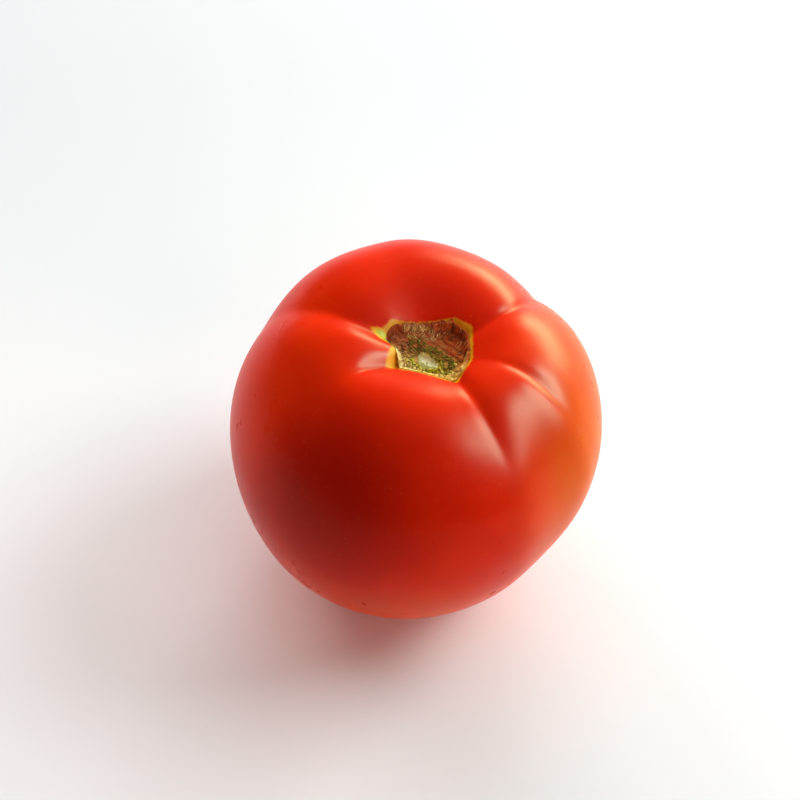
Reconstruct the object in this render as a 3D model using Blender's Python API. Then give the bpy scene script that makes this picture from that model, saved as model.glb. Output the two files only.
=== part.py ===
"""A whole ripe tomato standing on its blossom end, with the stem scar uppermost.

Metres, +Z up. The fruit is one solid: its lobes, the furrows between them, the basin round the
stem, the corky stem scar and the blossom end are all one skin, laid out in rings and columns.
Each column of points follows a lobe or a furrow from the stem scar down to the foot.
"""

import math
from collections import namedtuple

import bmesh
import bpy
from mathutils import Vector, noise

# Driving sizes of the whole fruit
WIDTH = 0.0702  # at the widest ring, left to right
DEPTH = 0.0744  # at the widest ring, front to back
WAIST_HEIGHT = 0.0334  # of the widest ring above the table
CROWN_RISE = 0.0317  # from the widest ring to the crown, were there no basin
CROWN_SQUARENESS = 0.97  # 1 is a plain ellipse, and less has squarer shoulders
BASE_SQUARENESS = 1.0
STEM_OFFSET = (0.0052, -0.0019)  # how far the stem end leans to the right and the front
LEAN_START = 0.008  # height from which the fruit leans

# The basin round the stem
BASIN_DEPTH = 0.0097
BASIN_RADIUS = 0.0125

# The foot, a small flat ring that the fruit stands on, and the blossom scar inside it
FOOT_RADIUS = 0.0085
BLOSSOM_RADIUS = 0.0026
BLOSSOM_DEPTH = 0.0009
BLOSSOM_WALL = (0.7, 0.75)  # shares of its radius and of its depth, halfway up its wall
BLOSSOM_TIP_RADIUS = 0.0009
BLOSSOM_TIP_RISE = 0.0005

# The corky stem scar. Its corners are directions in degrees, anticlockwise from the right as seen
# from above, and distances from the middle of the scar.
SCAR_CORNERS = (
    (33, 0.0083), (58, 0.0080), (138, 0.0090), (160, 0.0094),
    (180, 0.0064), (208, 0.0086), (297, 0.0092), (337, 0.0076),
)
CORNER_ROUNDING = 3  # degrees to each side over which a corner is rounded off
ROUNDING_STEPS = (-1, -0.5, 0, 0.5, 1)  # shares of it at which the outline is averaged
SCAR_PIT_DEPTH = 0.0022
SCAR_WALL_SHARE = 0.20  # of the scar's radius that its sloping wall takes up
PITH_PLACE = (-0.0004, -0.0026)  # centre of the pale stub, from the scar's centre
PITH_LENGTH, PITH_WIDTH = 0.0058, 0.0032
PITH_ANGLE = -38
PITH_RISE = 0.0014
PITH_EDGE = (0.7, 1.15)  # shares of the stub's size between which it falls to the floor
COLLAR_SHARE = 1.75  # of the stub's size, at the crest of the rough collar round it
COLLAR_SPREAD = 0.4  # of the stub's size, from the collar's crest to its skirt
COLLAR_RISE = 0.0009
CORK_LUMP_SIZE = 0.0016
CORK_LUMP_RISE = 0.0005

# Furrows, at directions like the corners'. Each is a rounded valley with a narrow crease along it.
# Start is the share of its depth that it has at the scar, and peak and reach are how far down from
# the crown it is deepest and dies out: 90 is the widest ring. Widths are those of the valley's
# bottom on the side of the lobe before it and of the lobe after it. Drop is how far the whole
# shoulder lies lower round the furrow, and swell how far the lobe after it stands out.
Furrow = namedtuple("Furrow", "at_scar at_side depth crease widths start peak reach drop swell")
FURROWS = (
    Furrow(27, 48, 0.0022, 0.0011, (0.0022, 0.0022), 0.25, 46, 98, drop=0.0003, swell=-0.0009),
    Furrow(107, 107, 0.0002, 0.0, (0.0040, 0.0040), 0.5, 40, 95, drop=-0.0029, swell=0.0004),
    Furrow(164, 153, 0.0017, 0.0003, (0.0020, 0.0026), 0.6, 36, 112, drop=-0.0030, swell=0.0002),
    Furrow(207, 222, 0.0011, 0.0007, (0.0018, 0.0018), 0.9, 16, 36, drop=0.0009, swell=0.0005),
    Furrow(297, 301, 0.0014, 0.0005, (0.0042, 0.0032), 0.6, 33, 72, drop=0.0011, swell=-0.0014),
    Furrow(336, 333, 0.0008, 0.0009, (0.0022, 0.0018), 0.1, 42, 72, drop=0.0, swell=-0.0004),
)
CREASE_WIDTH = 0.0011
CREASE_FADE = (20, 0.85)  # degrees from the crown, and share of the furrow's reach, of a crease's end
RIM_POLAR, TURN_POLAR = 12, 75  # degrees from the crown between which a furrow changes direction
SHOULDER_POLAR, BASE_POLAR = 50, 150  # degrees from the crown of the shoulder and of the plain base

# How finely the skin is divided
COLUMN_ANGLE = 4.2  # degrees between columns, on average
COLUMN_CROWDING = 0.55  # towards the furrows
LEAST_COLUMNS = 6  # on a lobe
SCAR_RINGS = 11
CROWN_RINGS = 17
BASE_RINGS = 12
SCAR_RING_POWER = 0.9  # 1 spaces the rings evenly, and less crowds them towards the rim
CROWN_RING_POWER = 1.25  # more than 1 crowds the rings towards the rim

# For the direction that the skin faces, in degrees
SLOPE_STEP = 0.5
NEAR_CROWN, NEAR_BASE = 1, 179.99

SKIN_RED, SKIN_ROUGHNESS = (0.60, 0.035, 0.008, 1.0), 0.22
CORK_BROWN, CORK_ROUGHNESS = (0.32, 0.22, 0.09, 1.0), 0.85

CROWN, WAIST, BASE = 0.0, math.radians(90), math.radians(180)


def smoothstep(low, high, value):
    share = min(1.0, max(0.0, (value - low) / (high - low)))
    return share * share * (3 - 2 * share)


def half_width(angle):
    """Radius of the widest ring in one direction."""
    return math.hypot(WIDTH / 2 * math.cos(angle), DEPTH / 2 * math.sin(angle))


def plain_profile(angle, polar):
    """Radius and height on the fruit as it would be with no lobes. Polar is 0 at the crown."""
    across = half_width(angle)
    if polar <= WAIST:
        radius = across * math.sin(polar) ** CROWN_SQUARENESS
        height = WAIST_HEIGHT + CROWN_RISE * math.cos(polar) ** CROWN_SQUARENESS
        height -= BASIN_DEPTH * math.exp(-((radius / BASIN_RADIUS) ** 2))
    else:
        radius = FOOT_RADIUS + (across - FOOT_RADIUS) * math.sin(polar) ** BASE_SQUARENESS
        height = WAIST_HEIGHT * (1 - abs(math.cos(polar)) ** BASE_SQUARENESS)
    return radius, height


def outward(angle, polar):
    """Direction that the plain fruit's skin faces, as its radial and upward shares."""
    step = math.radians(SLOPE_STEP)
    before = plain_profile(angle, max(polar - step, math.radians(NEAR_CROWN)))
    after = plain_profile(angle, min(polar + step, math.radians(NEAR_BASE)))
    facing = Vector((before[1] - after[1], after[0] - before[0]))
    return facing.normalized()


def furrow_strength(furrow, polar):
    """Share of a furrow's depth at one place on its way down."""
    degrees = math.degrees(polar)
    rising = furrow.start + (1 - furrow.start) * smoothstep(RIM_POLAR, furrow.peak, degrees)
    return rising * (1 - smoothstep(furrow.peak, furrow.reach, degrees))


def crease_share(furrow, polar):
    """How much of a furrow's crease is left at one place on its way down."""
    whole, share = CREASE_FADE
    return 1 - smoothstep(whole, share * furrow.reach, math.degrees(polar))


def shoulder_share(polar):
    """How much a place on the way down counts as the fruit's shoulder, where it is 1."""
    degrees = math.degrees(polar)
    rising = smoothstep(RIM_POLAR, SHOULDER_POLAR, degrees)
    return rising * (1 - smoothstep(SHOULDER_POLAR, BASE_POLAR, degrees))


def furrow_angle(furrow, polar):
    turned = smoothstep(RIM_POLAR, TURN_POLAR, math.degrees(polar))
    return math.radians(furrow.at_scar + (furrow.at_side - furrow.at_scar) * turned)


def lobe_place(lobe, share, polar):
    """Angle of a point at a share of the way across a lobe, with its distances from both furrows."""
    first = furrow_angle(FURROWS[lobe], polar)
    second = furrow_angle(FURROWS[(lobe + 1) % len(FURROWS)], polar)
    if second < first:
        second += 2 * math.pi
    angle = first + share * (second - first)
    return angle, angle - first, second - angle


def relief(lobe, share, polar, radius):
    """How far the skin sinks below the plain fruit at one place of a lobe."""
    angle, from_first, from_second = lobe_place(lobe, share, polar)
    before, after = FURROWS[lobe], FURROWS[(lobe + 1) % len(FURROWS)]
    half = (from_first + from_second) / 2
    across = smoothstep(0, 1, share)
    lowered = before.drop * (1 - across) + after.drop * across
    sunk = shoulder_share(polar) * (lowered - before.swell * math.sin(math.pi * share) ** 2)
    for furrow, away, width in (before, from_first, before.widths[1]), (after, from_second, after.widths[0]):
        bottom = min(width / radius, half / 2)
        slope = max(0.0, (half - math.hypot(away, bottom)) / (half - bottom)) ** 2
        crease = math.exp(-((away * radius / CREASE_WIDTH) ** 2)) * crease_share(furrow, polar)
        sunk += furrow_strength(furrow, polar) * (furrow.depth * slope + furrow.crease * crease)
    return sunk


def stem_lean(height):
    share = smoothstep(LEAN_START, WAIST_HEIGHT + CROWN_RISE, height)
    return Vector((STEM_OFFSET[0] * share, STEM_OFFSET[1] * share, height))


def skin_point(lobe, share, polar):
    """A point on the lobed skin."""
    angle = lobe_place(lobe, share, polar)[0]
    radius, height = plain_profile(angle, polar)
    facing = outward(angle, polar)
    sunk = relief(lobe, share, polar, radius)
    radius -= sunk * facing[0]
    height -= sunk * facing[1]
    return stem_lean(height) + Vector((radius * math.cos(angle), radius * math.sin(angle), 0))


def side_radius(degrees):
    """Distance from the scar's middle to the straight side between two of its corners."""
    for number, (first, near) in enumerate(SCAR_CORNERS):
        second, far = SCAR_CORNERS[(number + 1) % len(SCAR_CORNERS)]
        span, past = (second - first) % 360, (degrees - first) % 360
        if past <= span:
            break
    span, past = math.radians(span), math.radians(past)
    return near * far * math.sin(span) / (near * math.sin(past) + far * math.sin(span - past))


def rim_polar(lobe, share):
    """Polar angle at which a column of the skin meets the scar's edge."""
    angle = lobe_place(lobe, share, CROWN)[0]
    near = [side_radius(math.degrees(angle) + turn * CORNER_ROUNDING) for turn in ROUNDING_STEPS]
    radius = sum(near) / len(near)
    return math.asin((radius / half_width(angle)) ** (1 / CROWN_SQUARENESS))


def cork_relief(x, y):
    """Rise of the scar's floor: the pale stub, the rough collar round it and the cork's lumps."""
    turn = math.radians(PITH_ANGLE)
    across, along = x - PITH_PLACE[0], y - PITH_PLACE[1]
    across, along = (
        (across * math.cos(turn) + along * math.sin(turn)) / (PITH_LENGTH / 2),
        (along * math.cos(turn) - across * math.sin(turn)) / (PITH_WIDTH / 2),
    )
    from_pith = math.hypot(across, along)  # 1 at the stub's edge
    stub = PITH_RISE * (1 - smoothstep(*PITH_EDGE, from_pith))
    collar = COLLAR_RISE * math.exp(-(((from_pith - COLLAR_SHARE) / COLLAR_SPREAD) ** 2))
    lumps = CORK_LUMP_RISE * noise.noise(Vector((x, y, 0)) / CORK_LUMP_SIZE)
    return stub + collar + lumps * smoothstep(0, 1, from_pith)


def scar_point(rim, centre, share):
    """A point on the scar, at a share of the way from its centre to a point of its rim."""
    point = centre.lerp(rim, share)
    inside = 1 - smoothstep(1 - SCAR_WALL_SHARE, 1, share)
    place = point - centre
    floor = centre.z - SCAR_PIT_DEPTH + cork_relief(place.x, place.y)
    point.z = rim.z + inside * (floor - rim.z)
    return point


def blossom_rings():
    """Radius and height of the foot's ring and of the blossom scar inside it."""
    return (
        ((FOOT_RADIUS + BLOSSOM_RADIUS) / 2, 0.0),
        (BLOSSOM_RADIUS, 0.0),
        (BLOSSOM_WALL[0] * BLOSSOM_RADIUS, BLOSSOM_WALL[1] * BLOSSOM_DEPTH),
        (BLOSSOM_TIP_RADIUS, BLOSSOM_DEPTH),
    )


def columns():
    """The lobe and the share of the way across it, for each column of points."""
    found = []
    for lobe, furrow in enumerate(FURROWS):
        following = FURROWS[(lobe + 1) % len(FURROWS)]
        span = (following.at_scar - furrow.at_scar) % 360
        count = max(LEAST_COLUMNS, round(span / COLUMN_ANGLE))
        for number in range(count):
            share = number / count
            share -= COLUMN_CROWDING * math.sin(2 * math.pi * share) / (2 * math.pi)
            found.append((lobe, share))
    return found


def ring_layers(places):
    """Every ring of points, from the scar's inmost ring down to the blossom scar's tip."""
    rims = [skin_point(lobe, share, rim_polar(lobe, share)) for lobe, share in places]
    centre = sum(rims, Vector()) / len(rims)
    layers = []
    for number in range(1, SCAR_RINGS):
        share = (number / SCAR_RINGS) ** SCAR_RING_POWER
        layers.append([scar_point(rim, centre, share) for rim in rims])
    layers.append(rims)
    for number in range(1, CROWN_RINGS):
        share = (number / CROWN_RINGS) ** CROWN_RING_POWER
        layers.append([skin_point(*place, rim_polar(*place) + share * (WAIST - rim_polar(*place)))
                       for place in places])
    for number in range(BASE_RINGS + 1):
        polar = WAIST + (BASE - WAIST) * number / BASE_RINGS
        layers.append([skin_point(*place, polar) for place in places])
    for radius, height in blossom_rings():
        layers.append([Vector((radius * math.cos(angle), radius * math.sin(angle), height))
                       for angle in (lobe_place(*place, BASE)[0] for place in places)])
    top = Vector((centre.x, centre.y, centre.z - SCAR_PIT_DEPTH + cork_relief(0, 0)))
    bottom = Vector((0, 0, BLOSSOM_DEPTH - BLOSSOM_TIP_RISE))
    return top, layers, bottom


def material(name, colour, roughness):
    made = bpy.data.materials.new(name)
    made.use_nodes = True
    shader = made.node_tree.nodes["Principled BSDF"]
    shader.inputs["Base Color"].default_value = colour
    shader.inputs["Roughness"].default_value = roughness
    shader.inputs["Metallic"].default_value = 0.0
    made.diffuse_color = colour
    return made


def make_tomato():
    places = columns()
    top, layers, bottom = ring_layers(places)
    mesh = bpy.data.meshes.new("tomato")
    shape = bmesh.new()
    rings = [[shape.verts.new(point) for point in layer] for layer in layers]
    pole_above, pole_below = shape.verts.new(top), shape.verts.new(bottom)
    for column in range(len(places)):
        following = (column + 1) % len(places)
        shape.faces.new((pole_above, rings[0][column], rings[0][following])).material_index = 1
        for number in range(len(rings) - 1):
            upper, lower = rings[number], rings[number + 1]
            face = shape.faces.new((upper[column], lower[column], lower[following], upper[following]))
            face.material_index = int(number < SCAR_RINGS - 1)
        shape.faces.new((pole_below, rings[-1][following], rings[-1][column]))
    across = [vert.co.x for vert in shape.verts]
    along = [vert.co.y for vert in shape.verts]
    middle = Vector((min(across) + max(across), min(along) + max(along), 0)) / 2
    bmesh.ops.translate(shape, verts=shape.verts, vec=-middle)
    for face in shape.faces:
        face.smooth = True
    shape.to_mesh(mesh)
    shape.free()
    mesh.materials.append(material("tomato_skin", SKIN_RED, SKIN_ROUGHNESS))
    mesh.materials.append(material("stem_cork", CORK_BROWN, CORK_ROUGHNESS))
    fruit = bpy.data.objects.new("tomato", mesh)
    bpy.context.scene.collection.objects.link(fruit)
    return fruit


for old in list(bpy.data.objects):
    bpy.data.objects.remove(old)
make_tomato()
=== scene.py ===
import math
import random

import bpy
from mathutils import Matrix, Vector, noise
from mathutils.bvhtree import BVHTree


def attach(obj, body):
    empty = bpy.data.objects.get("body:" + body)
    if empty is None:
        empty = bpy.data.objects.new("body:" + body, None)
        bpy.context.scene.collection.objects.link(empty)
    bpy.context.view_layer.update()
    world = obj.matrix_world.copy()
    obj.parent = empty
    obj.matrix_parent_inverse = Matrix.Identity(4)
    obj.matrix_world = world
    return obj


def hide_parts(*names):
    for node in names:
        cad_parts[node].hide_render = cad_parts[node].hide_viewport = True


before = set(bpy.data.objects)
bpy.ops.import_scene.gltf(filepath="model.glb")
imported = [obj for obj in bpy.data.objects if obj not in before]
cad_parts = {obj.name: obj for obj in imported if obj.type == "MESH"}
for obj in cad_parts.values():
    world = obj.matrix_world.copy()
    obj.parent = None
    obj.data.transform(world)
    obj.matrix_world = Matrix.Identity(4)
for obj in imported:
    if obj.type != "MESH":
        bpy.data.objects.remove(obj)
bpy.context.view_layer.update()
print("frame loaded")

# the scar, its cork and what lies on it are in millimetres from its middle, and all else is in metres
millimetre = 0.001
aboveFruit = 90  # height from which rays are cast down on the fruit

scar = {
    "middle": (3.41, -1.84),
    # direction in degrees and distance of each corner of the skin's edge round the scar
    "skinCorners": (
        (33, 8.6), (58, 8.0), (141, 9.1), (157, 9.7), (180, 6.9), (206, 9.0), (298, 9.5), (337, 7.7),
    ),
    # and of the cork's own ragged outline, which leaves some green skin showing at the corners
    "corkCorners": (
        (3, 6.8), (30, 7.7), (43, 7.1), (60, 7.6), (94, 6.4), (128, 7.6), (150, 8.9), (163, 9.0),
        (180, 6.6), (214, 7.0), (242, 6.4), (262, 6.4), (300, 8.9), (313, 8.2), (341, 7.1),
    ),
    "rounding": 3,  # degrees to each side over which a corner is rounded off
}


# Rises smoothly from 0 at the low value to 1 at the high one
def smoothstep(low, high, value):
    share = min(1.0, max(0.0, (value - low) / (high - low)))
    return share * share * (3 - 2 * share)


# Distance from the middle to the straight side of an outline, in one direction
def sideRadius(corners, degrees):
    for number, (first, near) in enumerate(corners):
        second, far = corners[(number + 1) % len(corners)]
        span, past = (second - first) % 360, (degrees - first) % 360
        if past <= span:
            break
    span, past = math.radians(span), math.radians(past)
    return near * far * math.sin(span) / (near * math.sin(past) + far * math.sin(span - past))


# The same with the corners rounded off
def outlineRadius(corners, degrees):
    turns = (-1, -0.5, 0, 0.5, 1)
    return sum(sideRadius(corners, degrees + turn * scar["rounding"]) for turn in turns) / len(turns)


# Across, along, distance and direction of a point from the scar's middle
def scarPlace(point):
    across = point.x / millimetre - scar["middle"][0]
    along = point.y / millimetre - scar["middle"][1]
    return across, along, math.hypot(across, along), math.degrees(math.atan2(along, across)) % 360


def turnBetween(first, second):
    return abs((first - second + 180) % 360 - 180)


def pointFromScar(across, along, height):
    return Vector((across + scar["middle"][0], along + scar["middle"][1], height)) * millimetre


def onlySelect(piece):
    bpy.ops.object.select_all(action="DESELECT")
    piece.select_set(True)
    bpy.context.view_layer.objects.active = piece


def applyModifier(piece, kind, **settings):
    onlySelect(piece)
    modifier = piece.modifiers.new(kind.title(), kind)
    for setting, value in settings.items():
        setattr(modifier, setting, value)
    bpy.ops.object.modifier_apply(modifier=modifier.name)


# Keeps one number for each of a piece's points, for its material to read
def setShares(piece, name, values):
    attribute = piece.data.attributes.new(name, "FLOAT", "POINT")
    attribute.data.foreach_set("value", values)


def treeOf(piece):
    points = [vertex.co.copy() for vertex in piece.data.vertices]
    faces = [tuple(face.vertices) for face in piece.data.polygons]
    return BVHTree.FromPolygons(points, faces)


# Height in millimetres of the surface under a place of the scar
def heightOn(tree, across, along):
    start = pointFromScar(across, along, aboveFruit)
    hit = tree.ray_cast(start, Vector((0, 0, -1)))[0]
    return hit.z / millimetre


# Nodes are added and joined through this small helper, so that each material reads from top to bottom
class Finish:
    def __init__(self, name):
        self.material = bpy.data.materials.new(name)
        self.material.use_nodes = True
        self.tree = self.material.node_tree
        self.shader = self.tree.nodes["Principled BSDF"]
        self.places = self.tree.nodes.new("ShaderNodeTexCoord").outputs["Object"]

    def node(self, kind, inputs=None, **settings):
        made = self.tree.nodes.new(kind)
        for setting, value in settings.items():
            setattr(made, setting, value)
        for socket, value in (inputs or {}).items():
            self.join(value, made.inputs[socket])
        return made

    def join(self, value, socket):
        if isinstance(value, bpy.types.NodeSocket):
            self.tree.links.new(value, socket)
        else:
            socket.default_value = value

    def share(self, name):
        return self.node("ShaderNodeAttribute", attribute_name=name).outputs["Fac"]

    def noise(self, scale, detail=3, roughness=0.55, stretch=None):
        places = self.places
        if stretch:
            places = self.node("ShaderNodeMapping", {"Vector": places, "Scale": stretch}).outputs[0]
        inputs = {"Vector": places, "Scale": scale, "Detail": detail, "Roughness": roughness}
        return self.node("ShaderNodeTexNoise", inputs).outputs["Fac"]

    def cells(self, scale):
        inputs = {"Vector": self.places, "Scale": scale}
        return self.node("ShaderNodeTexVoronoi", inputs).outputs["Distance"]

    def between(self, value, low, high, start=0.0, end=1.0):
        inputs = {"Value": value, "From Min": low, "From Max": high, "To Min": start, "To Max": end}
        return self.node("ShaderNodeMapRange", inputs, interpolation_type="SMOOTHSTEP").outputs["Result"]

    def sum(self, first, second, operation="ADD"):
        made = self.node("ShaderNodeMath", operation=operation)
        self.join(first, made.inputs[0])
        self.join(second, made.inputs[1])
        return made.outputs[0]

    def mix(self, share, first, second):
        made = self.node("ShaderNodeMix", data_type="RGBA")
        self.join(share, made.inputs[0])
        self.join(first, made.inputs[6])
        self.join(second, made.inputs[7])
        return made.outputs[2]

    def bump(self, height, distance, over=None):
        inputs = {"Height": height, "Distance": distance}
        if over:
            inputs["Normal"] = over
        return self.node("ShaderNodeBump", inputs).outputs["Normal"]


# The camera stands at the photograph's height above the fruit and looks down on it
camera = {
    "elevation": 50,
    "distance": 0.30,
    "target": (0, 0, 0.0325),
    "pixelsPerMetre": 5170,
    "targetPixel": (413.1, 427.9),  # where the photograph shows the target
    "frameWidth": 800,
    "sensorWidth": 36,
}


def makeCamera():
    rise = math.radians(camera["elevation"])
    back = Vector((0, -math.cos(rise), math.sin(rise)))
    data = bpy.data.cameras.new("viewCamera")
    data.sensor_width = camera["sensorWidth"]
    focalPixels = camera["pixelsPerMetre"] * camera["distance"]
    data.lens = focalPixels * camera["sensorWidth"] / camera["frameWidth"]
    half = camera["frameWidth"] / 2
    data.shift_x = -(camera["targetPixel"][0] - half) / camera["frameWidth"]
    data.shift_y = (camera["targetPixel"][1] - half) / camera["frameWidth"]
    data.clip_start = 0.01
    viewer = bpy.data.objects.new("viewCamera", data)
    viewer.location = Vector(camera["target"]) + back * camera["distance"]
    viewer.rotation_euler = (-back).to_track_quat("-Z", "Y").to_euler()
    bpy.context.scene.collection.objects.link(viewer)
    bpy.context.scene.camera = viewer


makeCamera()
print("camera placed")

# Lights are soft panels. Direction is degrees anticlockwise from the right and degrees above the floor.
# Light is the power that falls on things in general, and shine the power that their gloss mirrors.
cool = (0.91, 1, 1.01)
warm = (1, 0.85, 0.81)
blush = (1, 0.58, 0.50)
lights = {
    "window": {
        "direction": (2, 38), "distance": 1.0, "size": (0.66, 0.50),
        "shine": 58.0, "gleam": (0.60, 1.0, 0.70),
    },
    "backWindow": {
        "direction": (54, 16), "distance": 1.2, "size": (1.0, 0.50),
        "light": 5.0, "colour": cool, "shine": 50.0, "gleam": (0.60, 1.0, 0.50),
    },
    "rightFill": {"direction": (18, 36), "distance": 1.0, "size": (0.6, 0.5), "light": 8.0, "colour": cool},
    "backFill": {"direction": (85, 20), "distance": 2.2, "size": (1.2, 0.7), "light": 29.0, "colour": cool},
    "leftBackFill": {
        "direction": (125, 25), "distance": 2.2, "size": (1.2, 0.8),
        "light": 30.0, "colour": warm,
    },
    "ceiling": {"direction": (65, 68), "distance": 2.0, "size": (2.0, 2.0), "light": 10.0, "colour": cool},
    "rightFrontFill": {
        "direction": (-50, 30), "distance": 1.2, "size": (0.8, 0.6),
        "light": 4.6, "colour": blush,
    },
    "leftFill": {"direction": (172, 18), "distance": 1.1, "size": (0.5, 0.5), "light": 0.8, "colour": blush},
}
lightTarget = (0, 0, 0.03)
surroundings = {"colour": (1.0, 0.84, 0.80, 1.0), "strength": 0.06}


def makePanel(name, panel, power, colour):
    turn, rise = (math.radians(angle) for angle in panel["direction"])
    away = Vector((math.cos(turn) * math.cos(rise), math.sin(turn) * math.cos(rise), math.sin(rise)))
    data = bpy.data.lights.new(name, "AREA")
    data.shape = "RECTANGLE"
    data.size, data.size_y = panel["size"]
    data.energy = power
    data.color = colour
    lamp = bpy.data.objects.new(name, data)
    lamp.location = Vector(lightTarget) + away * panel["distance"]
    lamp.rotation_euler = (-away).to_track_quat("-Z", "Y").to_euler()
    bpy.context.scene.collection.objects.link(lamp)
    return lamp


def makeLights():
    for name, panel in lights.items():
        if "light" in panel:
            makePanel(name, panel, panel["light"], panel["colour"]).visible_glossy = False
        if "shine" in panel:
            makePanel(name + "Shine", panel, panel["shine"], panel["gleam"]).visible_diffuse = False
    world = bpy.data.worlds.new("studio")
    bpy.context.scene.world = world
    world.use_nodes = True
    background = world.node_tree.nodes["Background"]
    background.inputs["Color"].default_value = surroundings["colour"]
    background.inputs["Strength"].default_value = surroundings["strength"]
    bpy.context.scene.view_settings.view_transform = "Standard"


makeLights()
print("lights placed")

floor = {
    "size": 8.0,
    "colour": (0.82, 0.83, 0.84, 1),
    # darker far colour: painted shade that evens out the brighter light at the back
    "far": (0.65, 0.68, 0.70, 1),
    "paintedShadeFrom": (-0.03, 0.16),  # how far back the near colour ends and the far one begins
    "roughness": 0.8,
    "shine": 0.2,
}


def makeFloor():
    bpy.ops.object.select_all(action="DESELECT")
    bpy.ops.mesh.primitive_plane_add(size=floor["size"])
    table = bpy.context.object
    table.name = "paleTable"
    finish = Finish("paleTable")
    # painted shade: the table's colour darkens a little towards the back, to offset the stronger light that
    # comes from there
    along = finish.node("ShaderNodeSeparateXYZ", {"Vector": finish.places}).outputs[1]
    uneven = finish.between(finish.noise(3.0, 2), 0, 1, 0.9, 1.0)
    share = finish.sum(finish.between(along, *floor["paintedShadeFrom"]), uneven, "MULTIPLY")
    finish.join(finish.mix(share, floor["colour"], floor["far"]), finish.shader.inputs["Base Color"])
    finish.shader.inputs["Roughness"].default_value = floor["roughness"]
    finish.shader.inputs["Specular IOR Level"].default_value = floor["shine"]
    table.data.materials.append(finish.material)


makeFloor()
print("table made")

# widths and drops at the scar are in millimetres, and places and heights on the fruit in metres
skin = {
    "subdivisions": 2,
    "scarHeight": 0.045,  # the scar's own colours and its pit lie above this
    "pitDrop": 1.6,  # how far the skin's own pit is lowered under the cork
    "greenWidth": 0.48,
    # direction, half the spread in degrees, width and strength of each yellow-green patch
    "yellowPatches": ((163, 6.5, 3.4, 1.0), (196, 20, 0.6, 0.45), (36, 12, 0.3, 0.3), (296, 10, 0.2, 0.3)),
    "bounceLitHeight": (0.034, 0.008),  # heights between which the skin brightens towards the floor: painted bounce light from the pale table
    # the orange flank on the right begins here and fades towards the crown: partly unripe skin, partly
    # painted warm light on the side the lights come from
    "litFlank": (0.014, 0.037), "litFlankHeight": (0.062, 0.040),
    # the olive tinge low in front fades at the back, above, below and to both sides
    "oliveAlong": (-0.004, -0.028), "oliveTop": (0.034, 0.016), "oliveFoot": (0.001, 0.010),
    "oliveLeft": (-0.026, -0.010), "oliveRight": (0.020, 0.004),
    # middle of the painted shade, a darker red in front on the left where little light falls, and how far it
    # reaches
    "paintedShadePlace": (-0.015, -0.027, 0.046), "paintedShadeReach": (0.005, 0.020),
    "deepRed": (0.58, 0.012, 0.0006, 1),
    "brightRed": (0.76, 0.028, 0.0010, 1),
    "orange": (0.74, 0.17, 0.008, 1),
    "paintedShadeRed": (0.40, 0.007, 0.0004, 1),
    "olive": (0.52, 0.105, 0.004, 1),
    "bounceLitRed": (0.94, 0.055, 0.002, 1),
    "rimOlive": (0.66, 0.30, 0.008, 1),
    "yellow": (0.78, 0.36, 0.012, 1),
    "green": (0.50, 0.46, 0.02, 1),
    "roughness": (0.27, 0.34), "rimRoughness": 0.6,
    "shine": 0.08, "refraction": 1.45,
    "depthShare": 0.30, "depthColour": (1.0, 0.22, 0.08), "depth": 0.004,  # light that enters the flesh
}


# The node's own mesh, merged, with its faces joined into fours
def copySkin():
    piece = bpy.data.objects.new("fruitSkin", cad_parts["tomato"].data.copy())
    bpy.context.scene.collection.objects.link(piece)
    piece.data.materials.clear()
    onlySelect(piece)
    bpy.ops.object.mode_set(mode="EDIT")
    bpy.ops.mesh.select_all(action="SELECT")
    bpy.ops.mesh.customdata_custom_splitnormals_clear()
    bpy.ops.mesh.remove_doubles(threshold=0.000002)
    bpy.ops.mesh.tris_convert_to_quads(face_threshold=math.radians(70), shape_threshold=math.radians(70))
    bpy.ops.object.mode_set(mode="OBJECT")
    return piece


# The skin with its pit lowered out of the cork's way, and its shares of green and yellow
def makeSkin():
    piece = copySkin()
    applyModifier(piece, "SUBSURF", levels=skin["subdivisions"], render_levels=skin["subdivisions"])
    greens, yellows = [], []
    for vertex in piece.data.vertices:
        across, along, distance, direction = scarPlace(vertex.co)
        gap = distance - outlineRadius(scar["skinCorners"], direction)
        corkGap = distance - outlineRadius(scar["corkCorners"], direction)
        width = skin["greenWidth"] * (1 + 0.5 * noise.noise(Vector((across, along, 0)) * 0.9))
        patch, strength = 0.0, 0.0
        for place, spread, length, strongest in skin["yellowPatches"]:
            near = math.exp(-((turnBetween(direction, place) / spread) ** 2))
            patch += length * near
            strength = max(strength, strongest * smoothstep(0.1, 0.6, near))
        above = vertex.co.z > skin["scarHeight"]
        greens.append(1 - smoothstep(-0.6 * width, 1.5 * width, gap) if above else 0.0)
        yellows.append(strength * (1 - smoothstep(0.25 * patch, patch + 0.4, gap)) if above else 0.0)
        if above and corkGap < 0:
            lowered = skin["pitDrop"] * smoothstep(0.0, 0.9, -corkGap)
            vertex.co.z -= lowered * millimetre
    setShares(piece, "greenShare", greens)
    setShares(piece, "yellowShare", yellows)
    onlySelect(piece)
    bpy.ops.object.shade_smooth()
    piece.data.materials.append(skinFinish())
    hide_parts("tomato")
    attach(piece, "root")
    return piece


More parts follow.
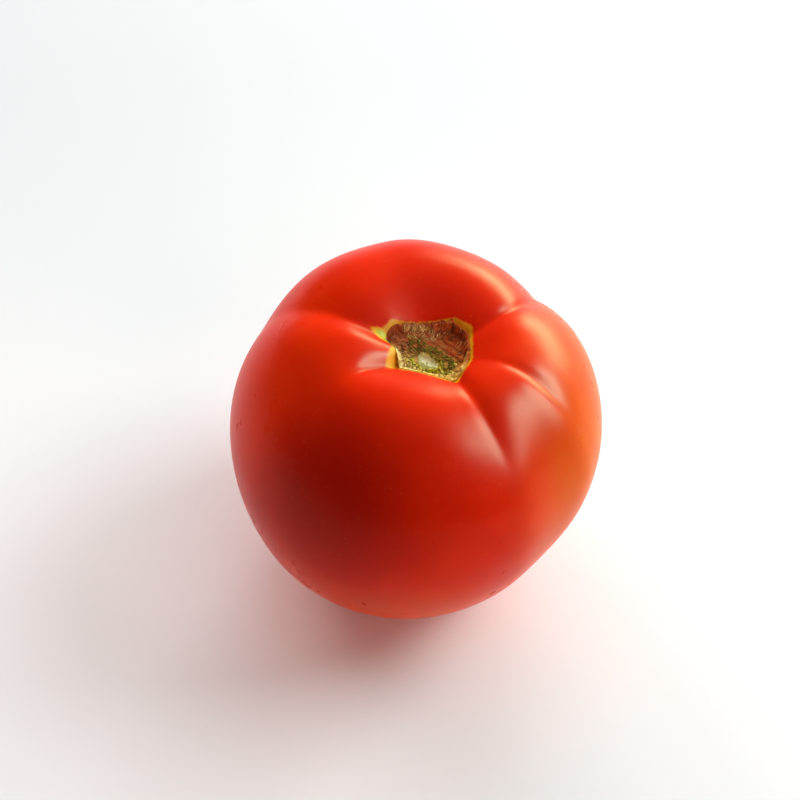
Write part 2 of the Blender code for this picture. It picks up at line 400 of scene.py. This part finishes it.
def skinFinish():
    finish = Finish("ripeSkin")
    shader = finish.shader
    # broad changes of ripeness, then the orange flank on the right, partly painted warm light, and the olive
    # tinge low in front
    ripeness = finish.between(finish.noise(28, 3, 0.5), 0.35, 0.7)
    colour = finish.mix(ripeness, skin["deepRed"], skin["brightRed"])
    split = finish.node("ShaderNodeSeparateXYZ", {"Vector": finish.places})
    across, along, height = split.outputs[0], split.outputs[1], split.outputs[2]
    # painted light: the right flank, where the window light falls, is partly tinted orange
    litFlank = finish.between(across, *skin["litFlank"])
    low = finish.between(height, *skin["litFlankHeight"], 0.45, 1.0)
    streaky = finish.noise(60, 4, 0.6, stretch=(1, 1, 0.35))
    streaks = finish.between(streaky, 0.2, 0.8, 0.5, 1.0)
    orangeAndLightShare = finish.sum(finish.sum(litFlank, low, "MULTIPLY"), streaks, "MULTIPLY")
    colour = finish.mix(orangeAndLightShare, colour, skin["orange"])
    # painted shade: the skin is darkened in front on the left, where little light falls
    ends = {0: finish.places, 1: skin["paintedShadePlace"]}
    away = finish.node("ShaderNodeVectorMath", ends, operation="DISTANCE").outputs["Value"]
    colour = finish.mix(finish.between(away, *skin["paintedShadeReach"], 0.9, 0.0), colour, skin["paintedShadeRed"])
    front = finish.between(along, *skin["oliveAlong"])
    top, foot = finish.between(height, *skin["oliveTop"]), finish.between(height, *skin["oliveFoot"])
    left, right = finish.between(across, *skin["oliveLeft"]), finish.between(across, *skin["oliveRight"])
    lowBand, middle = finish.sum(top, foot, "MULTIPLY"), finish.sum(left, right, "MULTIPLY")
    oliveShare = finish.sum(finish.sum(front, lowBand, "MULTIPLY"), middle, "MULTIPLY")
    oliveShare = finish.sum(oliveShare, finish.between(streaky, 0.25, 0.75, 0.3, 0.85), "MULTIPLY")
    colour = finish.mix(oliveShare, colour, skin["olive"])
    # painted bounce light: the skin brightens towards the floor, as if lit from the pale table below
    colour = finish.mix(finish.between(height, *skin["bounceLitHeight"], 0.0, 0.9), colour, skin["bounceLitRed"])
    # pale pinprick dots, which ripe skin has all over
    dots = finish.between(finish.cells(420), 0.05, 0.11, 0.16, 0.0)
    colour = finish.mix(dots, colour, skin["orange"])
    # olive where the skin meets the cork, and yellow-green in the patches beside it
    grain = finish.noise(1500, 3, 0.6)
    grained = finish.sum(finish.share("greenShare"), finish.between(grain, 0.3, 0.7, -0.1, 0.1))
    colour = finish.mix(finish.between(grained, 0.15, 0.85), colour, skin["rimOlive"])
    patchy = finish.sum(finish.share("yellowShare"), finish.between(grain, 0.3, 0.7, -0.12, 0.12))
    colour = finish.mix(finish.between(patchy, 0.08, 0.5), colour, skin["yellow"])
    colour = finish.mix(finish.between(patchy, 0.55, 0.95), colour, skin["green"])
    finish.join(colour, shader.inputs["Base Color"])
    waxy = finish.between(finish.noise(90, 4, 0.6), 0.3, 0.7, *skin["roughness"])
    dull = finish.sum(finish.share("greenShare"), skin["rimRoughness"] - skin["roughness"][1], "MULTIPLY")
    finish.join(finish.sum(waxy, dull), shader.inputs["Roughness"])
    shader.inputs["IOR"].default_value = skin["refraction"]
    shader.inputs["Specular IOR Level"].default_value = skin["shine"]
    shader.inputs["Subsurface Weight"].default_value = skin["depthShare"]
    shader.inputs["Subsurface Radius"].default_value = skin["depthColour"]
    shader.inputs["Subsurface Scale"].default_value = skin["depth"]
    broad = finish.bump(finish.noise(110, 2, 0.5), 0.00006)
    fine = finish.bump(finish.noise(1000, 3, 0.6), 0.000007, over=broad)
    finish.join(fine, shader.inputs["Normal"])
    return finish.material


fruitSkin = makeSkin()
skinTree = treeOf(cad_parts["tomato"])
print("skin made:", len(fruitSkin.data.polygons), "faces")

# each area of the scar is a bent line with a width
cork = {
    "gridSteps": 190,
    "edgeLift": 0.10,  # how far the cork stands proud of the scar's floor
    "edgeDrop": 0.35,  # how far its ragged edge lies below the skin's rim
    "edgeRagged": 0.28,
    "edgeFrom": (0.82, 0.88),  # shares of the radius where the sheet climbs to its edge and grows smoother
    "wallDepth": 1.3,
    "lumpSize": 1.1, "lumpRise": 0.34,
    "grainSize": 0.30, "grainRise": 0.13,
    "fibreCount": 11, "fibreRise": 0.22,
    "stub": (-1.0, -2.8), "stubTurn": -38, "stubLength": 5.4, "stubWidth": 2.2,
    "stubDrop": 0.45, "stubRagged": 0.20,
    "ringFill": 0.55, "ringPlace": 1.22, "ringWidth": 0.28,  # fills the ditch round the stub
    "pinhole": (-1.0, -3.0), "pinholeSize": 0.19, "pinholeDepth": 0.5,
    "hollow": ((-7.2, 4.6), (-4.7, 0.6)), "hollowWidth": 1.9, "hollowDepth": 0.9,
    "moss": ((-2.6, 1.3), (-0.3, -0.7), (1.5, -2.0), (2.7, -3.2)), "mossWidth": 1.6, "mossRise": 0.15,
    "rose": ((-4.6, 7.2), (1.2, 6.2), (5.4, 4.2), (5.6, 0.8)), "roseWidth": 2.1,
    "pale": ((-3.4, 5.2), (-0.8, 3.7)), "paleWidth": 1.9,
    "cream": ((-6.0, -0.4), (-5.2, -3.2), (-3.6, -4.6)), "creamWidth": 0.9, "creamRise": 0.25,
    "lichen": ((-3.5, 2.2), (-3.9, -1.2), (-2.8, -4.0), (2.4, -4.8)), "lichenWidth": 1.1,
    "cushion": ((1.6, -5.2), (4.6, -4.2)), "cushionWidth": 1.7, "cushionRise": 0.45,
    "rimShadowSpan": (60, 120), "rimShadowWidth": 1.1,  # middle and half spread of the directions of the painted shadow that the overhanging back rim casts on the cork's edge
    "tan": (0.54, 0.30, 0.045, 1), "paleTan": (0.82, 0.60, 0.14, 1),
    "darkBrown": (0.13, 0.028, 0.004, 1),
    "roseBrown": (0.86, 0.21, 0.055, 1), "roseDark": (0.38, 0.052, 0.010, 1),
    "mossLight": (0.34, 0.31, 0.01, 1), "mossDark": (0.085, 0.078, 0.001, 1),
    "creamPale": (0.95, 0.88, 0.34, 1), "creamTan": (0.95, 0.78, 0.25, 1),
    "lichenPale": (0.78, 0.78, 0.08, 1), "lichenDark": (0.40, 0.39, 0.012, 1),
    "pithPale": (0.80, 0.82, 0.48, 1), "pith": (0.72, 0.80, 0.36, 1),
    # near black: painted shade inside the pinhole
    "pinholeShade": (0.02, 0.014, 0.006, 1),
    "shine": 0.04,
}


# Distance from a place to a bent line
def nearLine(line, across, along):
    place = Vector((across, along))
    least = 99.0
    for start, end in zip(line, line[1:]):
        start, end = Vector(start), Vector(end)
        span = end - start
        share = min(1.0, max(0.0, (place - start).dot(span) / span.length_squared))
        least = min(least, (place - start - span * share).length)
    return least


# How much a place belongs to a named area of the scar, with a wandering edge
def belongs(name, across, along, soft=0.9):
    wander = 0.7 * noise.noise(Vector((across, along, 3.0)) * 0.8)
    wander += 0.35 * noise.noise(Vector((across, along, 7.0)) * 2.4)
    away = nearLine(cork[name], across, along) + wander
    width = cork[name + "Width"]
    return 1 - smoothstep(width - soft / 2, width + soft / 2, away)


# Distance from the pale stub's centre, where 1 is its edge, then the direction and millimetres from it
def fromStub(across, along):
    turn = math.radians(cork["stubTurn"])
    across, along = across - cork["stub"][0], along - cork["stub"][1]
    length = (across * math.cos(turn) + along * math.sin(turn)) / (cork["stubLength"] / 2)
    width = (along * math.cos(turn) - across * math.sin(turn)) / (cork["stubWidth"] / 2)
    return math.hypot(length, width), math.atan2(along, across), math.hypot(across, along)


# How much a place belongs to the smooth pale stub of pith, with a ragged edge
def onStub(across, along):
    share = fromStub(across, along)[0]
    share += cork["stubRagged"] * noise.fractal(Vector((across, along, 5.0)) * 0.9, 0.9, 2.0, 3)
    return 1 - smoothstep(0.80, 1.15, share)


def pinholeShare(across, along):
    away = math.hypot(across - cork["pinhole"][0], along - cork["pinhole"][1])
    return math.exp(-((away / cork["pinholeSize"]) ** 2))


# How far the cork's relief stands above the scar's floor at one place
def corkRise(across, along):
    place = Vector((across, along, 0))
    smooth = onStub(across, along)
    share, direction, away = fromStub(across, along)
    lumps = cork["lumpRise"] * noise.fractal(place / cork["lumpSize"], 0.9, 2.1, 3)
    grain = cork["grainRise"] * noise.fractal(place / cork["grainSize"], 0.8, 2.0, 3)
    spokes = Vector((math.cos(direction), math.sin(direction), 0)) * cork["fibreCount"]
    spokes.z = away * 0.45
    fibres = cork["fibreRise"] * (1 - 2 * abs(noise.noise(spokes))) * smoothstep(1.2, 2.2, share)
    rise = (lumps + grain + fibres) * (1 - 0.85 * smooth) - cork["stubDrop"] * smooth
    rise += cork["ringFill"] * math.exp(-(((share - cork["ringPlace"]) / cork["ringWidth"]) ** 2))
    rise -= cork["pinholeDepth"] * pinholeShare(across, along)
    rise -= cork["hollowDepth"] * belongs("hollow", across, along, 1.6)
    rise += cork["mossRise"] * belongs("moss", across, along)
    rise += cork["creamRise"] * belongs("cream", across, along)
    rise += cork["cushionRise"] * belongs("cushion", across, along, 1.8)
    return rise


def pointOnCircle(radius, direction):
    return radius * math.cos(math.radians(direction)), radius * math.sin(math.radians(direction))


# Radius of the cork's ragged edge
def corkEdge(direction):
    ragged = noise.noise(Vector((*pointOnCircle(1, direction), 0)) * 9)
    return outlineRadius(scar["corkCorners"], direction) + cork["edgeRagged"] * ragged


# A fine round sheet laid on the scar's floor, roughened, with its edge turned down into the flesh
def makeCork():
    bpy.ops.object.select_all(action="DESELECT")
    steps = cork["gridSteps"]
    bpy.ops.mesh.primitive_grid_add(x_subdivisions=steps, y_subdivisions=steps, size=2)
    piece = bpy.context.object
    piece.name = "stemCork"
    piece.data.name = "stemCork"
    for vertex in piece.data.vertices:
        x, y = vertex.co.x, vertex.co.y
        roundX = x * math.sqrt(1 - y * y / 2)
        roundY = y * math.sqrt(1 - x * x / 2)
        share = min(1.0, math.hypot(roundX, roundY))
        direction = math.degrees(math.atan2(roundY, roundX)) % 360
        across, along = pointOnCircle(share * corkEdge(direction), direction)
        climb, calm = (smoothstep(start, 1.0, share) for start in cork["edgeFrom"])
        rim = pointOnCircle(outlineRadius(scar["skinCorners"], direction), direction)
        ground = heightOn(skinTree, across, along) + cork["edgeLift"]
        edge = max(ground, heightOn(skinTree, *rim) - cork["edgeDrop"])
        ground += (edge - ground) * climb
        vertex.co = pointFromScar(across, along, ground + corkRise(across, along) * (1 - 0.75 * calm))
    onlySelect(piece)
    bpy.ops.object.mode_set(mode="EDIT")
    bpy.ops.mesh.select_all(action="DESELECT")
    bpy.ops.mesh.select_non_manifold()
    down = (0, 0, -cork["wallDepth"] * millimetre)
    bpy.ops.mesh.extrude_region_move(TRANSFORM_OT_translate={"value": down})
    bpy.ops.mesh.edge_face_add()
    bpy.ops.mesh.select_all(action="SELECT")
    bpy.ops.mesh.normals_make_consistent(inside=False)
    bpy.ops.object.mode_set(mode="OBJECT")
    places = [scarPlace(vertex.co) for vertex in piece.data.vertices]
    for area in ("hollow", "moss", "rose", "pale", "cream", "lichen"):
        setShares(piece, area + "Share", [belongs(area, place[0], place[1], 1.2) for place in places])
    # painted shadow: the cork is darkened along its back edge, under the overhanging rim of skin
    rimShadows = []
    for across, along, distance, direction in places:
        beside = 1 - smoothstep(0.7, 1.0, turnBetween(direction, cork["rimShadowSpan"][0]) / cork["rimShadowSpan"][1])
        rimShadows.append(beside * (1 - smoothstep(0.1, cork["rimShadowWidth"], corkEdge(direction) - distance)))
    setShares(piece, "rimShadowShare", rimShadows)
    setShares(piece, "stubShare", [onStub(place[0], place[1]) for place in places])
    setShares(piece, "pinholeShare", [pinholeShare(place[0], place[1]) for place in places])
    onlySelect(piece)
    bpy.ops.object.shade_smooth()
    piece.data.materials.append(corkFinish())
    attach(piece, "root")
    return piece


def corkFinish():
    finish = Finish("stemCork")
    fine = finish.noise(2600, 4, 0.65)
    coarse = finish.noise(900, 4, 0.6)
    patchy = finish.noise(420, 3, 0.6)
    colour = finish.mix(finish.between(coarse, 0.35, 0.65), cork["tan"], cork["paleTan"])
    lichen = finish.sum(finish.share("lichenShare"), finish.between(patchy, 0.25, 0.5, 0.35, 1.0), "MULTIPLY")
    lichenTone = finish.mix(finish.between(fine, 0.36, 0.6), cork["lichenDark"], cork["lichenPale"])
    colour = finish.mix(lichen, colour, lichenTone)
    rose = finish.sum(finish.share("roseShare"), finish.between(patchy, 0.25, 0.5), "MULTIPLY")
    roseTone = finish.mix(finish.between(coarse, 0.4, 0.62), cork["roseDark"], cork["roseBrown"])
    colour = finish.mix(rose, colour, roseTone)
    pale = finish.sum(finish.share("paleShare"), finish.between(coarse, 0.3, 0.6, 0.55, 1.0), "MULTIPLY")
    colour = finish.mix(pale, colour, cork["creamTan"])
    cream = finish.sum(finish.share("creamShare"), finish.between(coarse, 0.3, 0.55, 0.3, 1.0), "MULTIPLY")
    colour = finish.mix(cream, colour, cork["creamPale"])
    moss = finish.sum(finish.share("mossShare"), finish.between(fine, 0.35, 0.6, 0.4, 1.0), "MULTIPLY")
    mossTone = finish.mix(finish.between(fine, 0.42, 0.66), cork["mossDark"], cork["mossLight"])
    colour = finish.mix(moss, colour, mossTone)
    hollow = finish.sum(finish.share("hollowShare"), finish.between(fine, 0.3, 0.55, 0.85, 1.0), "MULTIPLY")
    hollowTone = finish.mix(finish.between(coarse, 0.45, 0.7), cork["darkBrown"], cork["roseDark"])
    colour = finish.mix(hollow, colour, hollowTone)
    # painted shadow of the overhanging back rim, in the dark rose brown
    rimShadow = finish.sum(finish.share("rimShadowShare"), finish.between(coarse, 0.3, 0.6, 0.6, 1.0), "MULTIPLY")
    colour = finish.mix(rimShadow, colour, cork["roseDark"])
    flecks = finish.between(finish.cells(1900), 0.30, 0.08, 0.0, 0.5)
    colour = finish.mix(flecks, colour, cork["darkBrown"])
    grained = finish.sum(finish.share("stubShare"), finish.between(fine, 0.3, 0.7, -0.15, 0.15))
    pithTone = finish.mix(finish.between(patchy, 0.36, 0.6), cork["pith"], cork["pithPale"])
    colour = finish.mix(finish.between(grained, 0.25, 0.75), colour, pithTone)
    # painted shade: the pinhole is coloured near black, as the hole's depth would look
    colour = finish.mix(finish.between(finish.share("pinholeShare"), 0.3, 0.75), colour, cork["pinholeShade"])
    finish.join(colour, finish.shader.inputs["Base Color"])
    finish.join(finish.between(coarse, 0.3, 0.7, 0.5, 0.85), finish.shader.inputs["Roughness"])
    finish.shader.inputs["Specular IOR Level"].default_value = cork["shine"]
    rough = finish.bump(coarse, 0.00018)
    finish.join(finish.bump(fine, 0.00008, over=rough), finish.shader.inputs["Normal"])
    return finish.material


stemCork = makeCork()
corkTree = treeOf(stemCork)
print("cork made:", len(stemCork.data.polygons), "faces")


# Height of whatever lies uppermost on the scar at one place
def topHeight(across, along):
    heights = []
    for tree in (corkTree, skinTree):
        hit = tree.ray_cast(pointFromScar(across, along, aboveFruit), Vector((0, 0, -1)))[0]
        if hit:
            heights.append(hit.z / millimetre)
    return max(heights)


# Torn fibres: count, thickness, length, area they start in, and how far they stand up
fibres = {
    "paleFibres": {
        "count": 110, "radius": (0.025, 0.06), "length": (0.5, 1.7), "lift": 0.16, "seed": 11,
        "areas": ("cream", "pale", "lichen"),
        "colour": (0.72, 0.48, 0.18, 1), "other": (0.52, 0.31, 0.09, 1),
    },
    "tanFibres": {
        "count": 150, "radius": (0.025, 0.06), "length": (0.6, 1.8), "lift": 0.12, "seed": 23,
        "areas": ("any", "rose", "pale"),
        "colour": (0.55, 0.24, 0.07, 1), "other": (0.42, 0.12, 0.04, 1),
    },
    "darkFibres": {
        "count": 150, "radius": (0.03, 0.08), "length": (0.6, 1.8), "lift": 0.10, "seed": 37,
        "areas": ("hollow", "rose", "any"),
        "colour": (0.13, 0.028, 0.005, 1), "other": (0.20, 0.050, 0.010, 1),
    },
    "mossTufts": {
        "count": 330, "radius": (0.04, 0.10), "length": (0.25, 0.8), "lift": 0.20, "seed": 53,
        "areas": ("moss", "moss", "moss", "lichen"),
        "colour": (0.080, 0.055, 0.001, 1), "other": (0.24, 0.17, 0.006, 1),
    },
}
fibreSteps = 7  # points along each fibre


# A place picked at random in an area of the scar
def startPlace(chance, area):
    while True:
        direction = chance.uniform(0, 360)
        radius = corkEdge(direction) * math.sqrt(chance.uniform(0.0, 0.85))
        across, along = pointOnCircle(radius, direction)
        if onStub(across, along) < 0.3 and (area == "any" or belongs(area, across, along) > 0.4):
            return across, along


# Thin tapered strands that follow the cork outward from the stub, stopping at its edge
def makeFibres(name, kind):
    chance = random.Random(kind["seed"])
    data = bpy.data.curves.new(name, "CURVE")
    data.dimensions = "3D"
    data.bevel_depth = millimetre
    data.bevel_resolution = 1
    data.use_fill_caps = True
    for number in range(kind["count"]):
        across, along = startPlace(chance, kind["areas"][number % len(kind["areas"])])
        outward = fromStub(across, along)[1]
        heading = outward + chance.gauss(0, 0.55)
        bend = chance.gauss(0, 0.35)
        length, radius = chance.uniform(*kind["length"]), chance.uniform(*kind["radius"])
        points = []
        for step in range(fibreSteps):
            share = step / (fibreSteps - 1)
            direction = math.degrees(math.atan2(along, across)) % 360
            if math.hypot(across, along) > corkEdge(direction) - 0.1:
                break
            lift = kind["lift"] * math.sin(math.pi * share) * (0.4 + chance.random())
            thick = radius * (0.35 + 0.65 * math.sin(math.pi * min(0.95, share + 0.15)))
            points.append((pointFromScar(across, along, topHeight(across, along) + lift), thick))
            heading += bend / fibreSteps + chance.gauss(0, 0.10)
            across += length / fibreSteps * math.cos(heading)
            along += length / fibreSteps * math.sin(heading)
        if len(points) < 4:
            continue
        spline = data.splines.new("POLY")
        spline.points.add(len(points) - 1)
        for point, (place, thick) in zip(spline.points, points):
            point.co = (*place, 1)
            point.radius = thick
    strands = bpy.data.objects.new(name, data)
    bpy.context.scene.collection.objects.link(strands)
    onlySelect(strands)
    bpy.ops.object.convert(target="MESH")
    piece = bpy.context.object
    bpy.ops.object.mode_set(mode="EDIT")
    bpy.ops.mesh.select_all(action="SELECT")
    bpy.ops.mesh.remove_doubles(threshold=0.0000005)
    bpy.ops.mesh.normals_make_consistent(inside=False)
    bpy.ops.object.mode_set(mode="OBJECT")
    bpy.ops.object.shade_smooth()
    finish = Finish(name)
    tone = finish.between(finish.noise(1100, 3, 0.6), 0.35, 0.65)
    finish.join(finish.mix(tone, kind["colour"], kind["other"]), finish.shader.inputs["Base Color"])
    finish.join(finish.between(tone, 0, 1, 0.45, 0.7), finish.shader.inputs["Roughness"])
    finish.shader.inputs["Specular IOR Level"].default_value = cork["shine"]
    piece.data.materials.clear()
    piece.data.materials.append(finish.material)
    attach(piece, "root")
    return piece


for fibreName, fibreKind in fibres.items():
    made = makeFibres(fibreName, fibreKind)
    print(fibreName, "made:", len(made.data.polygons), "faces")

# Crumbs on the scar: count, size, and area they lie in
grains = {
    "darkGrains": {
        "count": 90, "size": (0.05, 0.13), "seed": 5, "area": "moss",
        "colour": (0.060, 0.050, 0.002, 1), "other": (0.16, 0.13, 0.006, 1),
    },
    "paleGrains": {
        "count": 60, "size": (0.05, 0.11), "seed": 9, "area": "lichen",
        "colour": (0.46, 0.36, 0.03, 1), "other": (0.72, 0.56, 0.12, 1),
    },
}


# One small rounded grain, copied over an area of the scar and joined into one piece
def makeGrains(name, kind):
    chance = random.Random(kind["seed"])
    bpy.ops.object.select_all(action="DESELECT")
    bpy.ops.mesh.primitive_cube_add(size=2)
    first = bpy.context.object
    bpy.ops.object.mode_set(mode="EDIT")
    bpy.ops.mesh.subdivide(number_cuts=1, smoothness=1.0)
    bpy.ops.transform.tosphere(value=0.85)
    bpy.ops.object.mode_set(mode="OBJECT")
    copies = []
    for number in range(kind["count"]):
        across, along = startPlace(chance, kind["area"])
        size = chance.uniform(*kind["size"])
        stretch = Vector([size * chance.uniform(0.6, 1.4) * millimetre for axis in range(3)])
        turn = Vector([chance.uniform(0, math.tau) for axis in range(3)])
        grain = first if number == 0 else bpy.data.objects.new(name, first.data.copy())
        if number:
            bpy.context.scene.collection.objects.link(grain)
        grain.scale = stretch
        grain.rotation_euler = turn
        grain.location = pointFromScar(across, along, topHeight(across, along) + 0.35 * size)
        copies.append(grain)
    bpy.ops.object.select_all(action="DESELECT")
    for grain in copies:
        grain.select_set(True)
    bpy.context.view_layer.objects.active = first
    bpy.ops.object.transform_apply(location=True, rotation=True, scale=True)
    bpy.ops.object.join()
    piece = bpy.context.object
    piece.name = name
    piece.data.name = name
    bpy.ops.object.shade_smooth()
    finish = Finish(name)
    tone = finish.between(finish.noise(1300, 3, 0.6), 0.38, 0.62)
    finish.join(finish.mix(tone, kind["colour"], kind["other"]), finish.shader.inputs["Base Color"])
    finish.join(finish.between(tone, 0, 1, 0.5, 0.75), finish.shader.inputs["Roughness"])
    finish.shader.inputs["Specular IOR Level"].default_value = cork["shine"]
    finish.join(finish.bump(finish.noise(5000, 2), 0.00004), finish.shader.inputs["Normal"])
    piece.data.materials.append(finish.material)
    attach(piece, "root")
    return piece


for grainName, grainKind in grains.items():
    made = makeGrains(grainName, grainKind)
    print(grainName, "made:", len(made.data.polygons), "faces")

bpy.context.view_layer.update()
